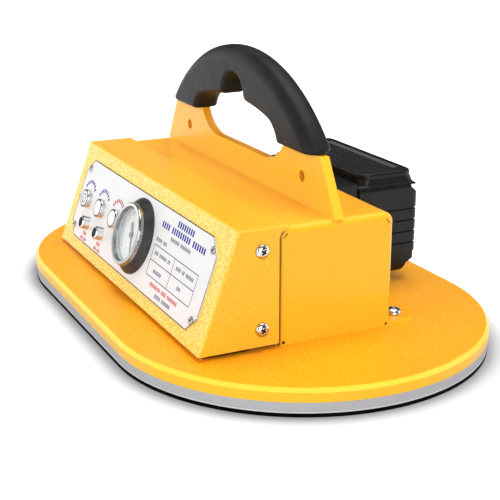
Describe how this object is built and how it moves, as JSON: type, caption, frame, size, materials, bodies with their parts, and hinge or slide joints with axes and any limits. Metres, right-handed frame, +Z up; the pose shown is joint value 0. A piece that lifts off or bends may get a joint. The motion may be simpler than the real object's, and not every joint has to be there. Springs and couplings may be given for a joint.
{
  "type": "vacuum lifter",
  "caption": "Hand-held vacuum lifter: stadium base plate with foam seal, sheet-metal pump box with sloping gauge panel, arched carrying handle and slide-on battery pack.",
  "frame": {"origin": "centre of the base, on the surface that the seal lip rests on", "axes": "+X along the base to the operator's right, +Y from the panel to the battery, +Z up"},
  "size_m": [0.4, 0.243, 0.1753],
  "materials": {
    "yellow_paint": "gloss powder coat",
    "grey_foam": "closed-cell foam",
    "black_rubber": "matt",
    "grip_rubber": "satin moulded",
    "screw_steel": "bright zinc plate",
    "label_white": "printed film on plate",
    "button_steel": "stainless",
    "lamp_chrome": "chrome plate",
    "lamp_lens": "dark lens",
    "gauge_black": "satin",
    "gauge_steel": "drawn steel",
    "gauge_chrome": "polished",
    "gauge_glass": "clear",
    "dial_white": "printed dial",
    "needle_grey": "satin paint",
    "brass": "turned",
    "battery_black": "moulded, fine texture",
    "latch_black": "moulded",
    "bare_steel": "zinc plate",
    "cast_aluminium": "machined",
    "valve_plastic": "moulded",
    "board_green": "solder mask"
  },
  "bodies": {
    "chassis": {"base_plate": "yellow_paint", "battery_dock": "battery_black", "board_standoffs": "brass", "check_valve": "brass", "control_board": "board_green", "cover_nuts": "bare_steel", "cover_screws": "screw_steel", "dock_screws": "bare_steel", "dock_terminals": "brass", "exhaust_silencer": "brass", "foot_screws": "screw_steel", "front_cover": "yellow_paint", "gauge_bezel": "gauge_chrome", "gauge_case": "gauge_steel", "gauge_clamp_ring": "gauge_black", "gauge_dial": "dial_white", "gauge_flange": "gauge_black", "gauge_movement": "brass", "gauge_stem": "brass", "gauge_window": "gauge_glass", "handle_grip": "grip_rubber", "handle_plate": "yellow_paint", "housing_shell": "yellow_paint", "intake_filter": "brass", "label_plate": "label_white", "label_screws": "screw_steel", "lamp_bezels": "lamp_chrome", "lamp_lenses": "lamp_lens", "lamp_nuts": "bare_steel", "left_end_plate": "yellow_paint", "manifold": "cast_aluminium", "power_switch_body": "button_steel", "pump_bracket": "bare_steel", "pump_crankcase": "cast_aluminium", "pump_diaphragm": "black_rubber", "pump_feet": "black_rubber", "pump_head": "valve_plastic", "pump_motor": "bare_steel", "release_switch_body": "button_steel", "release_valve": "valve_plastic", "right_end_plate": "yellow_paint", "seal_foam_ring": "grey_foam", "seal_lip_ring": "black_rubber", "switch_blocks": "valve_plastic", "switch_nuts": "bare_steel", "vacuum_hoses": "black_rubber", "vacuum_sensor": "valve_plastic", "vacuum_switch_body": "button_steel"},
    "power_key": {"power_button": "button_steel"},
    "vacuum_key": {"vacuum_button": "button_steel"},
    "release_key": {"release_button": "button_steel"},
    "needle": {"gauge_needle": "needle_grey"},
    "battery": {"battery_case": "battery_black", "battery_lid": "battery_black", "battery_contacts": "brass"},
    "battery_catch": {"battery_latch": "latch_black"},
    "crank": {"pump_crank": "bare_steel"},
    "rod": {"pump_rod": "cast_aluminium"},
    "plunger": {"valve_plunger": "bare_steel"}
  },
  "joints": [
    {"name": "power_button_press", "type": "slide", "parent": "chassis", "child": "power_key", "axis": [0, 0.9403, -0.3404], "range_m": [0, 0.0015], "stiffness_N_per_m": 600, "springref_m": -0.002},
    {"name": "vacuum_button_press", "type": "slide", "parent": "chassis", "child": "vacuum_key", "axis": [0, 0.9403, -0.3404], "range_m": [0, 0.0015], "stiffness_N_per_m": 600, "springref_m": -0.002},
    {"name": "release_button_press", "type": "slide", "parent": "chassis", "child": "release_key", "axis": [0, 0.9403, -0.3404], "range_m": [0, 0.0015], "stiffness_N_per_m": 600, "springref_m": -0.002},
    {"name": "gauge_needle_turn", "type": "hinge", "parent": "chassis", "child": "needle", "pos_m": [0.0019, -0.0784, 0.05525], "axis": [0, 0.9403, -0.3404], "range_deg": [0, 260], "stiffness_Nm_per_rad": 0.002},
    {"name": "battery_slide", "type": "slide", "parent": "chassis", "child": "battery", "axis": [-1, 0, 0], "range_m": [0, 0.09]},
    {"name": "battery_latch_press", "type": "slide", "parent": "battery", "child": "battery_catch", "axis": [0, 1, 0], "range_m": [0, 0.003], "stiffness_N_per_m": 1000, "springref_m": -0.002},
    {"name": "pump_shaft_spin", "type": "hinge", "parent": "chassis", "child": "crank", "pos_m": [-0.062, 0, 0.052], "axis": [1, 0, 0], "continuous": true},
    {"name": "pump_rod_swing", "type": "hinge", "parent": "crank", "child": "rod", "pos_m": [-0.062, 0, 0.054], "axis": [1, 0, 0], "continuous": true, "deforming": ["pump_diaphragm"]},
    {"name": "release_valve_lift", "type": "slide", "parent": "chassis", "child": "plunger", "axis": [0, 0, 1], "range_m": [0, 0.0025], "stiffness_N_per_m": 500, "springref_m": -0.002}
  ],
  "couplings": [
    {"joint": "pump_rod_swing", "follows": "pump_shaft_spin", "ratio": -1}
  ]
}
